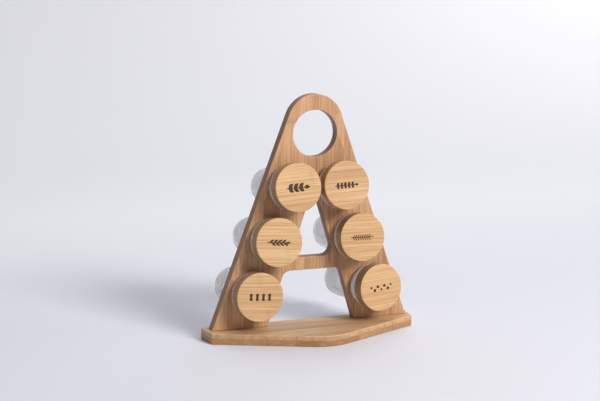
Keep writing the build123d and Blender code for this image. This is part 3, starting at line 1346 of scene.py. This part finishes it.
@dataclass(frozen=True)
class Studio:
    """A seamless paper sweep, three softboxes, a pale surround and the camera."""

    width: float = 6.0
    front: float = -1.6
    back: float = 2.4
    height: float = 3.2
    floor: float = -0.0002
    bend: float = 1.4
    bend_steps: int = 32
    camera_place: Point = (-0.473210, -1.102653, 0.337394)
    camera_turn: float = 22.607
    camera_dip: float = 9.924
    camera_roll: float = 1.034
    lens: float = 77.967
    sensor_width: float = 36.0
    surround_tint: Colour = (0.93, 0.94, 1.0)
    surround: float = 0.15
    seen_surround: float = 0.80

    def sweep(self, paper: bpy.types.Material) -> bpy.types.Object:
        """Floor and backdrop in one sheet with a wide bend between them.

        Args:
            paper: The sheet's material.

        Returns:
            The sheet.
        """
        half = self.width / 2
        points = [
            (-half, self.front, self.floor),
            (half, self.front, self.floor),
            (half, self.back, self.floor),
            (-half, self.back, self.floor),
            (half, self.back, self.height),
            (-half, self.back, self.height),
        ]
        mesh = bpy.data.meshes.new("paper_sweep")
        mesh.from_pydata(points, [], [(0, 1, 2, 3), (3, 2, 4, 5)])
        sheet = bpy.data.objects.new("paper_sweep", mesh)
        bpy.context.scene.collection.objects.link(sheet)
        bend = sheet.modifiers.new("bend", "BEVEL")
        bend.width = self.bend
        bend.segments = self.bend_steps
        bend.limit_method = "ANGLE"
        mesh.shade_smooth()
        mesh.materials.append(paper)
        return sheet

    def light(self) -> None:
        """Add the softboxes and a surround that diffuse surfaces get less of than glass and gloss."""
        for softbox in SOFTBOXES:
            softbox.build()
        world = bpy.data.worlds.new("surround")
        world.use_nodes = True
        wiring = Wiring(world.node_tree)
        background = world.node_tree.nodes["Background"]
        diffuse = wiring.add("ShaderNodeLightPath").outputs["Is Diffuse Ray"]
        strength = wiring.ramp(diffuse, 0.0, 1.0, self.seen_surround, self.surround)
        wiring.feed(background.inputs["Color"], self.surround_tint)
        wiring.feed(background.inputs["Strength"], strength)
        bpy.context.scene.world = world

    def camera(self) -> None:
        """Add the camera, to the rack's front left and a little above it."""
        lens = bpy.data.cameras.new("camera")
        lens.lens = self.lens
        lens.sensor_width = self.sensor_width
        holder = bpy.data.objects.new("camera", lens)
        turn = Matrix.Rotation(radians(-self.camera_turn), 4, "Z")
        dip = Matrix.Rotation(radians(90 - self.camera_dip), 4, "X")
        roll = Matrix.Rotation(radians(self.camera_roll), 4, "Z")
        holder.matrix_world = Matrix.Translation(self.camera_place) @ turn @ dip @ roll
        bpy.context.scene.collection.objects.link(holder)
        bpy.context.scene.camera = holder

    def build(self) -> None:
        """Build the whole studio."""
        self.sweep(BackdropFinish("seamless_paper").material())
        self.light()
        self.camera()
        bpy.context.scene.view_settings.view_transform = "Standard"


# ---------------------------------------------------------- what is built


RACK_MIDDLE = (0.0, 0.0, 0.1)
BACKDROP_FOOT = (1.5, 2.4, 0.3)
SOFTBOXES = [
    Softbox("key", (0.90, -1.62, 1.35), RACK_MIDDLE, 0.9, 46.0, (1.0, 0.985, 0.96)),
    Softbox("top", (0.2, 0.5, 2.2), RACK_MIDDLE, 1.4, 20.0, (0.95, 0.97, 1.0)),
    Softbox("wash", (1.9, 1.6, 1.5), BACKDROP_FOOT, 1.2, 14.0, (1.0, 0.99, 0.98)),
]

PLACES = [
    Place("top_left", Mark.BROAD_LEAVES, 3.0),
    Place("top_right", Mark.SMALL_LEAVES, 2.5),
    Place("middle_left", Mark.LONG_LEAVES, -4.0),
    Place("middle_right", Mark.NEEDLES, 0.0),
    Place("bottom_left", Mark.BUDS, -4.0),
    Place("bottom_right", Mark.SEEDS, 5.0),
]

PLANK_STEP = (0.31, 0.047, 0.013)
PANEL_BAMBOO = BambooFinish(
    name="panel_bamboo",
    pale=(0.72, 0.42, 0.215),
    deep=(0.40, 0.205, 0.095),
    knuckle=(0.22, 0.10, 0.045),
    fibres=Lay.UPRIGHT,
    face=(0.0, 1.0, 0.0),
    strip_width=17.0,
    streak_width=1.5,
    streak_contrast=0.85,
    fleck_amount=0.5,
    knuckle_amount=0.3,
    # dark laser-burnt edges of the cut panel
    side_burn_and_shade_tint=(0.55, 0.50, 0.47),
    ply_line=5.0,
    second_ply_tint=(0.80, 0.80, 0.84),
    # painted shade along the panel's foot, where it stands on the base board
    foot_shade_height=10.0,
)
BASE_BAMBOO = BambooFinish(
    name="base_bamboo",
    pale=(0.72, 0.455, 0.235),
    deep=(0.44, 0.245, 0.115),
    knuckle=(0.22, 0.10, 0.045),
    fibres=Lay.SIDEWAYS,
    face=(0.0, 0.0, 1.0),
    streak_width=1.6,
    streak_contrast=0.7,
    knuckle_amount=0.15,
    side_burn_and_shade_tint=(0.96, 0.96, 0.96),
    ply_line=5.5,
    reversed_plies=True,
    second_ply_tint=(0.86, 0.72, 0.60),
)
LID_BAMBOO = BambooFinish(
    name="lid_bamboo",
    pale=(0.765, 0.485, 0.245),
    deep=(0.50, 0.27, 0.115),
    knuckle=(0.30, 0.145, 0.055),
    fibres=Lay.SIDEWAYS,
    face=(0.0, 1.0, 0.0),
    strip_width=22.0,
    strip_contrast=0.2,
    streak_width=1.2,
    streak_contrast=0.9,
    fleck_amount=0.3,
    knuckle_amount=0.12,
    # painted shade: darkens the lid's turned side
    side_burn_and_shade_tint=(0.60, 0.55, 0.50),
    own_place=True,
)


def main() -> None:
    """Build the rack, the jars and the studio."""
    logging.basicConfig(level=logging.INFO, format="%(name)s: %(message)s")
    effects = Effects(StripPattern().group(), HandlingPattern().group())
    Rack().dress(effects)
    lid_bamboo = LID_BAMBOO.material(effects)
    scorch = ScorchFinish("burnt_mark").material(effects)
    glass = GlassFinish("jar_glass").material()
    silicone = SiliconeFinish("seal_silicone").material()
    for number, place in enumerate(PLACES):
        jar = Jar(place)
        glass_piece = jar.build()
        jar.dress(glass_piece, glass)
        cut_from = tuple(number * step for step in PLANK_STEP)
        lid = Lid(place, cut_from=cut_from).build(lid_bamboo, scorch)
        seal = Seal(place).build(silicone)
        for piece in (glass_piece, lid, seal):
            log.info("%s: %d faces", piece.name, len(piece.data.polygons))
    Studio().build()


if __name__ == "__main__":
    main()
